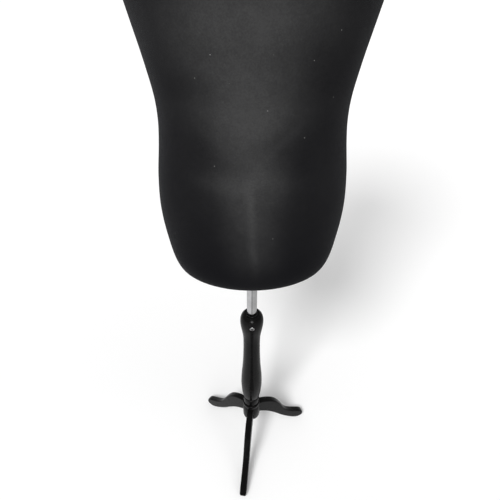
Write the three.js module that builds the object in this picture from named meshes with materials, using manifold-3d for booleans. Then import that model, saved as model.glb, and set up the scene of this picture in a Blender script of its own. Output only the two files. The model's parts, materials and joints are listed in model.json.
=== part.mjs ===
// Height-adjustable dress form: a jersey-covered torso on a chrome pole, clamped in a
// turned, black-lacquered column that stands on three curved legs.
// Millimetres, +Z up, the form faces -Y, floor at z = 0.

import * as THREE from "three";
import { mergeVertices } from "three/addons/utils/BufferGeometryUtils.js";
import Module from "manifold-3d";

const wasm = await Module();
wasm.setup();

// ---------------------------------------------------------------- driving dimensions

const fit = 0.3; // clearance between pieces that touch
const poleAxisY = 32.8; // the pole axis stands behind the middle of the whole footprint

// Torso, as the outer face of the jersey
const torsoBottomZ = 750;
const neckTopZ = 1556;
const bottomEdgeRadius = 37;
const lipWidth = 15;
const jerseyThickness = 1;
const shellThickness = 4;
const armPlaneX = 203;
const armCapThickness = 8;
const torsoSides = 32;
// height, half width, depth in front of the pole, depth behind it, squareness of the section
const torsoStations = [
  [750, 143, 101, 110, 1.9],
  [800, 161, 113, 121, 2.35],
  [860, 172, 111, 127, 2.35],
  [920, 176, 108, 125, 2.35],
  [980, 171.5, 104, 114, 2.35],
  [1040, 162, 101, 100, 2.35],
  [1075, 158, 101, 94, 2.35],
  [1110, 158, 104, 93, 2.35],
  [1160, 165, 111, 98, 2.35],
  [1220, 176.5, 121, 105, 2.35],
  [1280, 189, 127, 110, 2.35],
  [1340, 204, 122, 114, 2.3],
  [1375, 217, 112, 115, 2.25],
  [1410, 223, 98, 113, 2.2],
  [1435, 219, 85, 106, 2.15],
  [1455, 203, 73, 97, 2.1],
  [1470, 172, 66, 90, 2.05],
  [1485, 135, 61, 84, 2],
  [1500, 102, 58, 78, 2],
  [1515, 78, 56, 72, 2],
  [1530, 65, 55, 67, 2],
  [1556, 59, 54, 62, 2],
];

// Neck cap and base board
const neckCapThickness = 14;
const neckCapOverhang = 3;
const neckBlockHeight = 30;
const neckDowelReach = { down: 20, up: 8.6 }; // into the block and into the cap
const boardInset = 40;
const boardThickness = 12;

// Pole and its socket in the torso
const poleRadius = 12.5;
const poleWall = 1.5;
const poleFootZ = 380;
const socketTopZ = 850;
const socketBoreRadius = poleRadius + 0.4;
const socketCollarZ = 724;
const socketScrewZ = 736;
const flangeRadius = 38;
const flangeThickness = 3;
const flangeScrewCircle = 28;
const flangeScrewRadius = 2;
const flangeScrewLength = 10;
const socketTubeRadius = 15;
const socketCollarRadius = 17;
const thumbScrewRadius = 3;

// Column and hub
const columnFootZ = 210;
const columnTopZ = 600;
const bushDepth = 70;
const bushRadius = 15.8;
const bushTopZ = columnTopZ - 1.5;
const insertRadius = 5;
const poleBoreFloorZ = 262;
const clampScrewZ = 569;
const clampScrewRadius = 3;
const clampSeatRadius = 7.4;
const clampSeat = 22.8; // how far from the axis the clamp screw's seat is
const hubBottomZ = 132;
const hubRadius = 26.4;
const tieRodRadius = 4;
const tieRodSpan = { from: hubBottomZ - 12, to: 250 };
const tieWasherThickness = 2;

// Tripod
const legThickness = 19;
const legEdgeRadius = 3.5;
const tripodTurn = -9; // degrees that the front leg is turned away from -Y
const legTenonRadius = 17; // how near the axis a leg's end reaches
const legTopZ = 192;
const legUndersideZ = 140;
const glideRadius = 7;
const glideThickness = 4;
const glideAt = 181; // distance of a foot glide from the axis
const dowelRadius = 4;
const dowelHeights = { upper: 181, lower: 153 };
const dowelSpan = [8.5, 42];

// ---------------------------------------------------------------- materials

function material(color, roughness, metalness = 0) {
  return new THREE.MeshStandardMaterial({ color, roughness, metalness });
}

const finish = {
  jersey: material(0x1b1b1c, 0.95),
  shell: material(0x2c2a28, 0.7),
  lacquer: material(0x0e0e0f, 0.28),
  board: material(0x4a3a2b, 0.8),
  rawWood: material(0xb58a5a, 0.75),
  chrome: material(0xcfd1d3, 0.12, 1),
  zinc: material(0xa9adb1, 0.35, 1),
  blackSteel: material(0x1d1d1e, 0.45, 0.6),
  brass: material(0xb08d45, 0.35, 1),
  plastic: material(0x161616, 0.5),
};

// ---------------------------------------------------------------- solids and booleans

// A closed three.js geometry as a manifold solid.
function solidOf(geometry) {
  const bare = geometry.clone();
  bare.deleteAttribute("normal");
  bare.deleteAttribute("uv");
  const merged = mergeVertices(bare, 1e-4);
  const mesh = new wasm.Mesh({
    numProp: 3,
    vertProperties: new Float32Array(merged.attributes.position.array),
    triVerts: new Uint32Array(merged.index.array),
  });
  return new wasm.Manifold(mesh);
}

function geometryOf(solid) {
  const mesh = solid.getMesh();
  const geometry = new THREE.BufferGeometry();
  geometry.setAttribute("position", new THREE.BufferAttribute(mesh.vertProperties, 3));
  geometry.setIndex(new THREE.BufferAttribute(mesh.triVerts, 1));
  geometry.computeVertexNormals();
  return geometry;
}

function cut(geometry, ...cutters) {
  let solid = solidOf(geometry);
  for (const cutter of cutters) {
    solid = solid.subtract(solidOf(cutter));
  }
  return geometryOf(solid);
}

// A box between two corners.
function block(low, high) {
  const size = high.map((value, i) => value - low[i]);
  const middle = high.map((value, i) => (value + low[i]) / 2);
  return new THREE.BoxGeometry(...size).translate(...middle);
}

// A round bar along Z from one height to another, on the axis.
function bar(radius, fromZ, toZ, sides = 24) {
  const geometry = new THREE.CylinderGeometry(radius, radius, toZ - fromZ, sides);
  geometry.rotateX(Math.PI / 2);
  return geometry.translate(0, 0, (fromZ + toZ) / 2);
}

// A round bar that points away from the axis along -Y, at a height.
function radialBar(radius, from, to, z, sides = 16) {
  const geometry = new THREE.CylinderGeometry(radius, radius, to - from, sides);
  return geometry.translate(0, -(from + to) / 2, z);
}

// A turned solid about Z from [radius, height] points.
function turned(points, sides) {
  const profile = points.map(([radius, z]) => new THREE.Vector2(radius, z));
  const geometry = new THREE.LatheGeometry(profile, sides);
  return geometry.rotateX(Math.PI / 2);
}

// The turned profile's heights increase, so its faces point out.
function tube(inner, outer, fromZ, toZ, sides) {
  const profile = [[inner, fromZ], [outer, fromZ], [outer, toZ], [inner, toZ], [inner, fromZ]];
  return turned(profile, sides);
}

// ---------------------------------------------------------------- torso surface

const stationHeights = torsoStations.map((station) => station[0]);
const stationValues = torsoStations.flatMap((station) => station.slice(1));
const torsoShape = new THREE.CubicInterpolant(stationHeights, stationValues, 4);

// A point of the torso's outside: the section at a height, drawn in by an inset.
function torsoPoint(z, inset, angle) {
  const [halfWidth, front, back, squareness] = torsoShape.evaluate(z);
  const cosine = Math.cos(angle);
  const sine = Math.sin(angle);
  const depth = sine < 0 ? front : back;
  const power = Math.abs(cosine) ** squareness + Math.abs(sine) ** squareness;
  const swell = power ** (-1 / squareness);
  const x = (halfWidth - inset) * cosine * swell;
  const y = (depth - inset) * sine * swell;
  return new THREE.Vector3(x, y, z);
}

function torsoRings() {
  const rings = [{ z: torsoBottomZ, inset: bottomEdgeRadius + lipWidth }];
  const edgeSteps = 4;
  for (let i = 0; i <= edgeSteps; i++) {
    const turn = (i / edgeSteps) * (Math.PI / 2);
    rings.push({
      z: torsoBottomZ + bottomEdgeRadius * (1 - Math.cos(turn)),
      inset: bottomEdgeRadius * (1 - Math.sin(turn)),
    });
  }
  const spans = [
    { to: 1375, steps: 12 },
    { to: 1525, steps: 8 },
    { to: neckTopZ, steps: 2 },
  ];
  let from = torsoBottomZ + bottomEdgeRadius;
  for (const { to, steps } of spans) {
    for (let i = 1; i <= steps; i++) {
      rings.push({ z: from + ((to - from) * i) / steps, inset: 0 });
    }
    from = to;
  }
  return rings;
}

// The torso's outside moved inward along its normals, as loops of points from the lip to the neck.
function torsoLoops(depth) {
  const rings = torsoRings();
  const step = (2 * Math.PI) / torsoSides;
  const at = (ring, side) => torsoPoint(ring.z, ring.inset, side * step);
  return rings.map((ring, k) => {
    const below = rings[Math.max(k - 1, 0)];
    const above = rings[Math.min(k + 1, rings.length - 1)];
    return Array.from({ length: torsoSides }, (_, side) => {
      const around = at(ring, side + 1).sub(at(ring, side - 1));
      const along = at(above, side).sub(at(below, side));
      const normal = around.cross(along).normalize();
      return at(ring, side).addScaledVector(normal, -depth);
    });
  });
}

// A closed solid through loops of points, with a fan over each end.
function loft(loops) {
  const count = loops[0].length;
  const middleOf = (loop) => loop.reduce((sum, p) => sum.add(p), new THREE.Vector3())
    .divideScalar(count);
  const points = [...loops.flat(), middleOf(loops[0]), middleOf(loops[loops.length - 1])];
  const firstMiddle = points.length - 2;
  const lastMiddle = points.length - 1;
  const triangles = [];
  for (let k = 0; k < loops.length - 1; k++) {
    for (let i = 0; i < count; i++) {
      const a = k * count + i;
      const b = k * count + ((i + 1) % count);
      triangles.push(a, b, b + count, a, b + count, a + count);
    }
  }
  const top = (loops.length - 1) * count;
  for (let i = 0; i < count; i++) {
    const next = (i + 1) % count;
    triangles.push(firstMiddle, next, i, lastMiddle, top + i, top + next);
  }
  const geometry = new THREE.BufferGeometry().setFromPoints(points);
  geometry.setIndex(triangles);
  return geometry;
}

function movedUp(loop, height) {
  return loop.map((point) => point.clone().add(new THREE.Vector3(0, 0, height)));
}

// The torso filled solid at a depth under its outside.
function torsoFilled(depth) {
  return solidOf(loft(torsoLoops(depth)));
}

// The same, run on through the bottom opening and the neck, to hollow a shell with.
function torsoHollow(depth) {
  const reach = 8;
  const loops = torsoLoops(depth);
  const below = movedUp(loops[0], -reach);
  const above = movedUp(loops[loops.length - 1], reach);
  return solidOf(loft([below, ...loops, above]));
}

// A block that reaches past the torso all round, between two places across and two in depth.
function slab([fromX, toX], [fromY, toY]) {
  return solidOf(block([fromX, fromY, 600], [toX, toY, 1700]));
}

const past = 400; // farther out than any of the torso

function slabX(from, to) {
  return slab([from, to], [-past, past]);
}

// An oval outline at a height of the torso, drawn in by an inset.
function torsoOutline(z, inset) {
  const points = [];
  for (let side = 0; side < torsoSides; side++) {
    const point = torsoPoint(z, inset, (side / torsoSides) * 2 * Math.PI);
    points.push(new THREE.Vector2(point.x, point.y));
  }
  return new THREE.Shape(points);
}

// ---------------------------------------------------------------- torso pieces

const shellOutside = jerseyThickness + fit;
const shellInside = shellOutside + shellThickness;
const shellArmX = armPlaneX - shellOutside;

function torsoShell() {
  return torsoFilled(shellOutside)
    .subtract(torsoHollow(shellInside))
    .intersect(slabX(-shellArmX, shellArmX));
}

function shellFront() {
  return geometryOf(torsoShell().intersect(slab([-past, past], [-past, -fit / 2])));
}

function shellBack() {
  return geometryOf(torsoShell().intersect(slab([-past, past], [fit / 2, past])));
}

function jerseyCover() {
  const outside = torsoFilled(0).intersect(slabX(-armPlaneX, armPlaneX));
  const insideX = armPlaneX - jerseyThickness;
  const inside = torsoHollow(jerseyThickness).intersect(slabX(-insideX, insideX));
  return geometryOf(outside.subtract(inside));
}

// The plate that closes an armhole, inside the shell's edge. side is 1 on the left, -1 on the right.
function armCap(side) {
  const faces = [shellArmX * side, (shellArmX - armCapThickness) * side];
  const slab = slabX(Math.min(...faces), Math.max(...faces));
  return geometryOf(torsoFilled(shellInside + fit).intersect(slab));
}

function neckBlock() {
  const inset = shellInside + 1;
  const shape = torsoOutline(neckTopZ, inset);
  const plug = new THREE.ExtrudeGeometry(shape, { depth: neckBlockHeight, bevelEnabled: false });
  plug.translate(0, 0, neckTopZ - neckBlockHeight);
  return cut(plug, bar(dowelRadius + fit, neckTopZ - neckDowelReach.down, neckTopZ + 1, 12));
}

function neckCap() {
  const edge = 4;
  const shape = torsoOutline(neckTopZ, -neckCapOverhang);
  const cap = new THREE.ExtrudeGeometry(shape, {
    depth: neckCapThickness - 2 * edge,
    bevelThickness: edge,
    bevelSize: edge,
    bevelOffset: -edge,
    bevelSegments: 2,
  });
  cap.translate(0, 0, neckTopZ + fit + edge);
  return cut(cap, bar(dowelRadius + fit, neckTopZ - 1, neckTopZ + neckDowelReach.up, 12));
}

function neckDowelScrew() {
  return bar(dowelRadius, neckTopZ - neckDowelReach.down + fit, neckTopZ + neckDowelReach.up - fit, 12);
}

function flangeScrewPlaces() {
  return [45, 135, 225, 315].map((degrees) => {
    const angle = THREE.MathUtils.degToRad(degrees);
    return [flangeScrewCircle * Math.cos(angle), flangeScrewCircle * Math.sin(angle)];
  });
}

const boardBottomZ = torsoBottomZ + shellInside + fit;
const flangeTopZ = boardBottomZ - fit;
const flangeBottomZ = flangeTopZ - flangeThickness;
const flangeHoleRadius = flangeScrewRadius + fit;

function baseBoard() {
  const shape = torsoOutline(torsoBottomZ, boardInset);
  const plate = new THREE.ExtrudeGeometry(shape, { depth: boardThickness, bevelEnabled: false });
  plate.translate(0, 0, boardBottomZ);
  const socketHole = bar(socketTubeRadius + fit, boardBottomZ - 1, boardBottomZ + boardThickness + 1);
  const pilots = flangeScrewPlaces().map(([x, y]) =>
    bar(flangeHoleRadius, boardBottomZ - 1, boardBottomZ + flangeScrewLength, 8).translate(x, y, 0));
  return cut(plate, socketHole, ...pilots);
}

// Flange, collar below the board and closed tube above it, welded up as one piece.
function socketFlange() {
  const roofThickness = 3;
  const body = turned([
    [socketBoreRadius, socketCollarZ],
    [socketCollarRadius, socketCollarZ],
    [socketCollarRadius, flangeBottomZ],
    [flangeRadius, flangeBottomZ],
    [flangeRadius, flangeTopZ],
    [socketTubeRadius, flangeTopZ],
    [socketTubeRadius, socketTopZ + roofThickness],
    [0, socketTopZ + roofThickness],
    [0, socketTopZ],
    [socketBoreRadius, socketTopZ],
    [socketBoreRadius, socketCollarZ],
  ], 24);
  const screwHole = radialBar(thumbScrewRadius + fit, 10, 20, socketScrewZ, 12).rotateZ(Math.PI);
  const holes = flangeScrewPlaces().map(([x, y]) =>
    bar(flangeHoleRadius, flangeBottomZ - 1, flangeTopZ + 1, 8).translate(x, y, 0));
  return cut(body, screwHole, ...holes);
}

function flangeScrew([x, y]) {
  const headHeight = 2.4;
  const headRadius = 4;
  const crownRadius = 2.6;
  const headTopZ = flangeBottomZ - fit;
  const screw = turned([
    [0, headTopZ - headHeight],
    [crownRadius, headTopZ - headHeight],
    [headRadius, headTopZ - headHeight / 2],
    [headRadius, headTopZ],
    [flangeScrewRadius, headTopZ],
    [flangeScrewRadius, headTopZ + flangeScrewLength],
    [0, headTopZ + flangeScrewLength],
  ], 8);
  return screw.translate(x, y, 0);
}

// Where a radial screw's tip stops, just clear of the pole.
const screwTip = poleRadius + 0.5;

// A screw that points away from the axis along -Y: shank from near the pole, then its head.
function radialScrew(profile, z, sides) {
  const points = profile.map(([radius, distance]) => new THREE.Vector2(radius, distance));
  const geometry = new THREE.LatheGeometry(points, sides);
  geometry.rotateX(Math.PI);
  return geometry.translate(0, 0, z);
}

function socketThumbScrew() {
  const knob = { from: 18, to: 29, radius: 9, edge: 2 };
  const screw = radialScrew([
    [0, screwTip],
    [thumbScrewRadius, screwTip],
    [thumbScrewRadius, knob.from],
    [knob.radius - knob.edge, knob.from],
    [knob.radius, knob.from + knob.edge],
    [knob.radius, knob.to - knob.edge],
    [knob.radius - knob.edge, knob.to],
    [0, knob.to],
  ], socketScrewZ, 16);
  return screw.rotateZ(Math.PI);
}

// ---------------------------------------------------------------- pole

const poleTopZ = socketTopZ - 2.6;

function poleTube() {
  return tube(poleRadius - poleWall, poleRadius, poleFootZ, poleTopZ, 24);
}

// A push-in plug: a stem inside the tube and a head over its end. up is 1 at the top, -1 below.
function polePlug(endZ, up) {
  const stem = poleRadius - poleWall - fit;
  const head = poleRadius - 0.2;
  const stemLength = 12;
  const headHeight = 2;
  const points = [
    [0, endZ - stemLength * up],
    [stem, endZ - stemLength * up],
    [stem, endZ + fit * up],
    [head, endZ + fit * up],
    [head, endZ + headHeight * up],
    [0, endZ + headHeight * up],
  ];
  return turned(up > 0 ? points : points.reverse(), 20);
}

// ---------------------------------------------------------------- column and hub

const bushFloorZ = columnTopZ - bushDepth;

function column() {
  const collarTopZ = 241;
  const rodHole = { radius: tieRodRadius + fit, topZ: tieRodSpan.to + 0.5 };
  const body = turned([
    [0, rodHole.topZ],
    [rodHole.radius, rodHole.topZ],
    [rodHole.radius, columnFootZ + fit],
    [21.5, columnFootZ + fit],
    [22.4, 212.5],
    [23.8, 214.5],
    [23.2, 238.5],
    [22, collarTopZ - 1],
    [22, collarTopZ],
    [23.6, 243],
    [25.6, 252],
    [28.2, 270],
    [30.2, 304],
    [29.6, 336],
    [27.8, 362],
    [25.6, 390],
    [24, 418],
    [22.9, 448],
    [22.3, 476],
    [22.3, 500],
    [23.2, 518],
    [25.2, 534],
    [27.6, 549],
    [29.1, 561],
    [29.6, 572],
    [28.8, 582],
    [25.8, 591],
    [21, 597.5],
    [17.5, columnTopZ],
    [bushRadius + fit, columnTopZ],
    [bushRadius + fit, bushFloorZ],
    [socketBoreRadius + fit, bushFloorZ],
    [socketBoreRadius + fit, poleBoreFloorZ],
    [0, poleBoreFloorZ],
  ], 24);
  const insertHole = radialBar(insertRadius + fit, 10, 35, clampScrewZ);
  const seat = radialBar(clampSeatRadius, clampSeat, 40, clampScrewZ, 24);
  return cut(body, insertHole, seat);
}

function columnBush() {
  const body = tube(socketBoreRadius, bushRadius, bushFloorZ + fit, bushTopZ, 24);
  return cut(body, radialBar(clampScrewRadius + 2 * fit, 10, 20, clampScrewZ, 12));
}

function columnInsert() {
  const length = { from: bushRadius + 2 * fit, to: clampSeat - 1 };
  const sleeve = radialBar(insertRadius, length.from, length.to, clampScrewZ);
  return cut(sleeve, radialBar(clampScrewRadius + fit, 10, 30, clampScrewZ));
}

function clampScrew() {
  const headFrom = clampSeat + fit;
  const headTo = headFrom + 5.4;
  const headRadius = 6.3;
  const crown = { radius: 4.8, depth: 1.8 };
  const keySocket = { radius: 2.9, depth: 3 };
  const screw = radialScrew([
    [0, screwTip],
    [clampScrewRadius, screwTip],
    [clampScrewRadius, headFrom],
    [headRadius, headFrom],
    [headRadius, headTo - crown.depth],
    [crown.radius, headTo],
    [0, headTo],
  ], clampScrewZ, 24);
  const socket = radialBar(keySocket.radius, headTo - keySocket.depth, headTo + 2, clampScrewZ, 6);
  return cut(screw, socket);
}

function hub() {
  const body = turned([
    [tieRodRadius + fit, hubBottomZ],
    [17, hubBottomZ],
    [22, hubBottomZ + 1.8],
    [25.2, hubBottomZ + 6],
    [hubRadius, hubBottomZ + 12],
    [hubRadius, columnFootZ - 4],
    [25.2, columnFootZ - 1.4],
    [22.6, columnFootZ],
    [tieRodRadius + fit, columnFootZ],
    [tieRodRadius + fit, hubBottomZ],
  ], 24);
  const cutters = [];
  for (const turn of Object.values(legTurns)) {
    const half = legThickness / 2 + fit;
    const slotEnd = legTenonRadius - fit;
    const slot = block([-half, -40, hubBottomZ - 5], [half, -slotEnd, legTopZ + fit]);
    cutters.push(slot.rotateZ(turn));
    for (const z of Object.values(dowelHeights)) {
      cutters.push(radialBar(dowelRadius + fit, dowelSpan[0] - fit, 30, z, 12).rotateZ(turn));
    }
  }
  return cut(body, ...cutters);
}

function tieRod() {
  return bar(tieRodRadius, tieRodSpan.from, tieRodSpan.to, 12);
}

function tieWasher() {
  const top = hubBottomZ - fit;
  return tube(tieRodRadius + fit, 12, top - tieWasherThickness, top, 16);
}

function tieNut() {
  const top = hubBottomZ - tieWasherThickness - 2 * fit;
  const height = 6.5;
  return cut(bar(7.5, top - height, top, 6), bar(tieRodRadius + fit, top - 10, top + 1, 12));
}

// ---------------------------------------------------------------- legs

const legTurns = {
  front: THREE.MathUtils.degToRad(tripodTurn),
  left: THREE.MathUtils.degToRad(tripodTurn + 120),
  right: THREE.MathUtils.degToRad(tripodTurn - 120),
};

// The side view of a leg: distance from the axis across, height up.
function legShape() {
  const at = (distance, z) => new THREE.Vector2(distance, z);
  const shape = new THREE.Shape();
  shape.moveTo(legTenonRadius, legUndersideZ);
  shape.lineTo(27, legUndersideZ);
  shape.splineThru([
    at(44, 129),
    at(65, 111),
    at(86, 88),
    at(108, 61),
    at(132, 36),
    at(155, 16),
    at(170, 6.5),
  ]);
  shape.lineTo(174, glideThickness + fit);
  shape.lineTo(188, glideThickness + fit);
  shape.splineThru([
    at(194, 7),
    at(197, 15),
    at(194.5, 26),
    at(185, 37),
    at(169, 48),
    at(149, 62),
    at(132, 77),
    at(119, 95),
    at(109, 117),
    at(99, 137),
    at(86, 157),
    at(71, 172),
    at(53, 183.5),
    at(35, 190.5),
    at(24, legTopZ),
  ]);
  shape.lineTo(legTenonRadius, legTopZ);
  shape.closePath();
  return shape;
}

function leg(turn) {
  const plank = new THREE.ExtrudeGeometry(legShape(), {
    depth: legThickness - 2 * legEdgeRadius,
    curveSegments: 2,
    bevelThickness: legEdgeRadius,
    bevelSize: legEdgeRadius,
    bevelOffset: -legEdgeRadius,
    bevelSegments: 2,
  });
  plank.translate(0, 0, legEdgeRadius - legThickness / 2);
  // Stand the outline up: its x runs along -Y, its y up Z, its thickness across X.
  const upright = new THREE.Matrix4().set(
    0, 0, -1, 0,
    -1, 0, 0, 0,
    0, 1, 0, 0,
    0, 0, 0, 1,
  );
  plank.applyMatrix4(upright);
  const holes = Object.values(dowelHeights).map((z) =>
    radialBar(dowelRadius + fit, 10, dowelSpan[1] + fit, z, 12));
  return cut(plank, ...holes).rotateZ(turn);
}

function footGlide(turn) {
  const geometry = bar(glideRadius, 0, glideThickness, 16);
  return geometry.translate(0, -glideAt, 0).rotateZ(turn);
}

// ---------------------------------------------------------------- assembly

const dressForm = new THREE.Group();
dressForm.position.y = poleAxisY;

function add(name, geometry, look) {
  const mesh = new THREE.Mesh(geometry, look);
  mesh.name = name;
  dressForm.add(mesh);
}

add("torso_shell_front", shellFront(), finish.shell);
add("torso_shell_back", shellBack(), finish.shell);
add("jersey_cover", jerseyCover(), finish.jersey);
add("arm_cap_left", armCap(1), finish.shell);
add("arm_cap_right", armCap(-1), finish.shell);
add("neck_block", neckBlock(), finish.rawWood);
add("neck_cap", neckCap(), finish.lacquer);
add("neck_dowel_screw", neckDowelScrew(), finish.zinc);
add("base_board", baseBoard(), finish.board);
add("socket_flange", socketFlange(), finish.blackSteel);
flangeScrewPlaces().forEach((place, i) => {
  add(`flange_screw_${i + 1}`, flangeScrew(place), finish.zinc);
});
add("socket_thumb_screw", socketThumbScrew(), finish.plastic);

add("pole_tube", poleTube(), finish.chrome);
add("pole_top_plug", polePlug(poleTopZ, 1), finish.plastic);
add("pole_foot_plug", polePlug(poleFootZ, -1), finish.plastic);

add("column", column(), finish.lacquer);
add("column_bush", columnBush(), finish.plastic);
add("column_insert", columnInsert(), finish.brass);
add("clamp_screw", clampScrew(), finish.chrome);
add("hub", hub(), finish.lacquer);
add("tie_rod", tieRod(), finish.zinc);
add("tie_washer", tieWasher(), finish.zinc);
add("tie_nut", tieNut(), finish.zinc);

for (const [name, turn] of Object.entries(legTurns)) {
  add(`leg_${name}`, leg(turn), finish.lacquer);
  add(`foot_glide_${name}`, footGlide(turn), finish.plastic);
  for (const [level, z] of Object.entries(dowelHeights)) {
    const dowel = radialBar(dowelRadius, ...dowelSpan, z, 12).rotateZ(turn);
    add(`leg_dowel_${name}_${level}`, dowel, finish.rawWood);
  }
}

export default dressForm;
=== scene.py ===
"""Looks of the height-adjustable dress form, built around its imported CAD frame.

The frame is in metres, +Z up, and the form faces -Y. Profiles and outlines in this file are in
millimetres, measured from the CAD node that they stand for, and MM turns them into metres.
"""

import json
import math

import bmesh
import bpy
import numpy as np
from mathutils import Matrix, Vector

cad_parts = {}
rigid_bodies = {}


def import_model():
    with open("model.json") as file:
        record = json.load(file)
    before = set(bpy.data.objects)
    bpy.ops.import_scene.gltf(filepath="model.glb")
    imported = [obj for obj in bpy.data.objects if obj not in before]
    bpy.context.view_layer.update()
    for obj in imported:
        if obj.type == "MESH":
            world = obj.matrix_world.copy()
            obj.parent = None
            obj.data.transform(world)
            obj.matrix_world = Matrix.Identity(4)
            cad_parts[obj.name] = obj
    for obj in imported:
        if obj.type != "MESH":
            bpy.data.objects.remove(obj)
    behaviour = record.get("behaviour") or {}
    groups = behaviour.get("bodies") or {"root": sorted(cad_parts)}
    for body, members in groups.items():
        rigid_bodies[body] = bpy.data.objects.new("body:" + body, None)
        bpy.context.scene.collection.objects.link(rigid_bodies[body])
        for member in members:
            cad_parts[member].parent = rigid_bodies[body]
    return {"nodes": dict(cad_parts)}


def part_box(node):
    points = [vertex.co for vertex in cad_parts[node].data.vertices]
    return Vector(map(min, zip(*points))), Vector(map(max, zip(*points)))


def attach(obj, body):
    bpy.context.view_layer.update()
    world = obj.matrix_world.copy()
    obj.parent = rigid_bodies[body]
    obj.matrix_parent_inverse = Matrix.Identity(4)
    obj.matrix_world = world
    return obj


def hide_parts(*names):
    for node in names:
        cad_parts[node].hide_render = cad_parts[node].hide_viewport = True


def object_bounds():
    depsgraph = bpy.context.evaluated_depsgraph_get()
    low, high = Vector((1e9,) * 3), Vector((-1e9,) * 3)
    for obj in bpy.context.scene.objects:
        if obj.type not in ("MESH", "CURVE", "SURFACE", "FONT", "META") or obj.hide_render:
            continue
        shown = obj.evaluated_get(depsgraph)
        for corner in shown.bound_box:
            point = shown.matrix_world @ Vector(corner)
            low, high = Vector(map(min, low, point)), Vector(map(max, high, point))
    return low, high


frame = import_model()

MM = 0.001
TURN = 2 * math.pi

nodes = frame["nodes"]
cad_low, cad_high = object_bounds()


# ---- places in the frame

def middle_of(node):
    low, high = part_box(node)
    return (low + high) / 2


axis = middle_of("pole_tube")
axis.z = 0


def length_of(node):
    low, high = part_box(node)
    return (high.z - low.z) / MM


def beneath(node, middle):
    """A place in line with a middle, at the height of the node's underside."""
    return Matrix.Translation((middle.x, middle.y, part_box(node)[0].z))


def on_axis(node):
    """The place on the pole axis at the height of the node's underside."""
    return beneath(node, axis)


def turned_by(degrees, height=0):
    """A place on the pole axis, turned about it."""
    turn = Matrix.Rotation(math.radians(degrees), 4, "Z")
    return Matrix.Translation((axis.x, axis.y, height)) @ turn


def facing(height, degrees):
    """A place at a height where local Z points away from the pole axis, at an angle from -Y."""
    return turned_by(degrees, height) @ Matrix.Rotation(math.radians(90), 4, "X")


# ---- curves

def catmull_rom(points, steps):
    """(x, y) points on a smooth curve through the given ones, with steps to each span."""
    path = [Vector(p) for p in points]
    ends = [path[0]] + path + [path[-1]]
    result = []
    for a, b, c, d in zip(ends, ends[1:], ends[2:], ends[3:]):
        for i in range(steps):
            t = i / steps
            bend = 2 * a - 5 * b + 4 * c - d
            cube = 3 * b - a - 3 * c + d
            result.append(b + ((c - a) * t + bend * t ** 2 + cube * t ** 3) / 2)
    return [(p.x, p.y) for p in result + [path[-1]]]


class Spline:
    """Rows of values over heights; each slope is the mean of the secants on its two sides."""

    def __init__(self, rows):
        table = np.array(rows, float)
        self.heights = table[:, 0]
        self.values = table[:, 1:]
        spans = np.diff(self.heights)[:, None]
        secants = np.diff(self.values, axis=0) / spans
        inner = (secants[:-1] + secants[1:]) / 2
        self.slopes = np.vstack([secants[:1], inner, secants[-1:]])

    def at(self, height):
        """The values at one or more heights, one after the other."""
        heights, values, slopes = self.heights, self.values, self.slopes
        h = np.clip(height, heights[0], heights[-1])
        i = np.clip(np.searchsorted(heights, h, side="right") - 1, 0, len(heights) - 2)
        span = (heights[i + 1] - heights[i])[..., None]
        t = (h - heights[i])[..., None] / span
        row = values[i] * (2 * t ** 3 - 3 * t ** 2 + 1) + slopes[i] * span * (t ** 3 - 2 * t ** 2 + t)
        row += values[i + 1] * (3 * t ** 2 - 2 * t ** 3) + slopes[i + 1] * span * (t ** 3 - t ** 2)
        return np.moveaxis(row, -1, 0)


def fillet(centre, radius, start, end, steps):
    """An arc of profile points about a centre, angles in degrees from the outward direction."""
    angles = [math.radians(start + (end - start) * i / steps) for i in range(steps + 1)]
    return [(centre[0] + radius * math.cos(a), centre[1] + radius * math.sin(a)) for a in angles]


# ---- meshes

def shade(mesh, sharp_degrees=32):
    """Smooth shading, broken at edges sharper than the angle."""
    bm = bmesh.new()
    bm.from_mesh(mesh)
    bmesh.ops.recalc_face_normals(bm, faces=bm.faces)
    for face in bm.faces:
        face.smooth = True
    for edge in bm.edges:
        edge.smooth = edge.calc_face_angle(0) < math.radians(sharp_degrees)
    bm.to_mesh(mesh)
    bm.free()


def in_scene(name, data):
    obj = bpy.data.objects.new(name, data)
    bpy.context.scene.collection.objects.link(obj)
    return obj


def new_object(name, points, faces):
    """A shaded object with its points in metres, in the frame."""
    mesh = bpy.data.meshes.new(name)
    mesh.from_pydata([tuple(p) for p in points], [], faces)
    shade(mesh)
    return in_scene(name, mesh)


def ring_faces(rings, closed=False):
    """Faces between rings of point numbers; a ring of one number is a pole."""
    faces = []
    for low, high in zip(rings, rings[1:] + rings[:closed]):
        count = max(len(low), len(high))
        for i in range(count):
            j = (i + 1) % count
            if len(low) == 1:
                faces.append((low[0], high[j], high[i]))
            elif len(high) == 1:
                faces.append((low[i], low[j], high[0]))
            else:
                faces.append((low[i], low[j], high[j], high[i]))
    return faces


def turned(name, profile, place, segments=96):
    """A turned body. The profile's (radius, height) points run from pole to pole or close on
    themselves, and a third value is a function of angle and height that scales the radius."""
    points, rings = [], []
    for radius, height, *shape in profile:
        if radius == 0:
            rings.append([len(points)])
            points.append(place @ Vector((0, 0, height * MM)))
            continue
        rings.append(list(range(len(points), len(points) + segments)))
        for i in range(segments):
            angle = TURN * i / segments
            r = radius * (shape[0](angle, height) if shape else 1) * MM
            points.append(place @ Vector((r * math.cos(angle), r * math.sin(angle), height * MM)))
    closed = profile[0][0] != 0
    return new_object(name, points, ring_faces(rings, closed))


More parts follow.
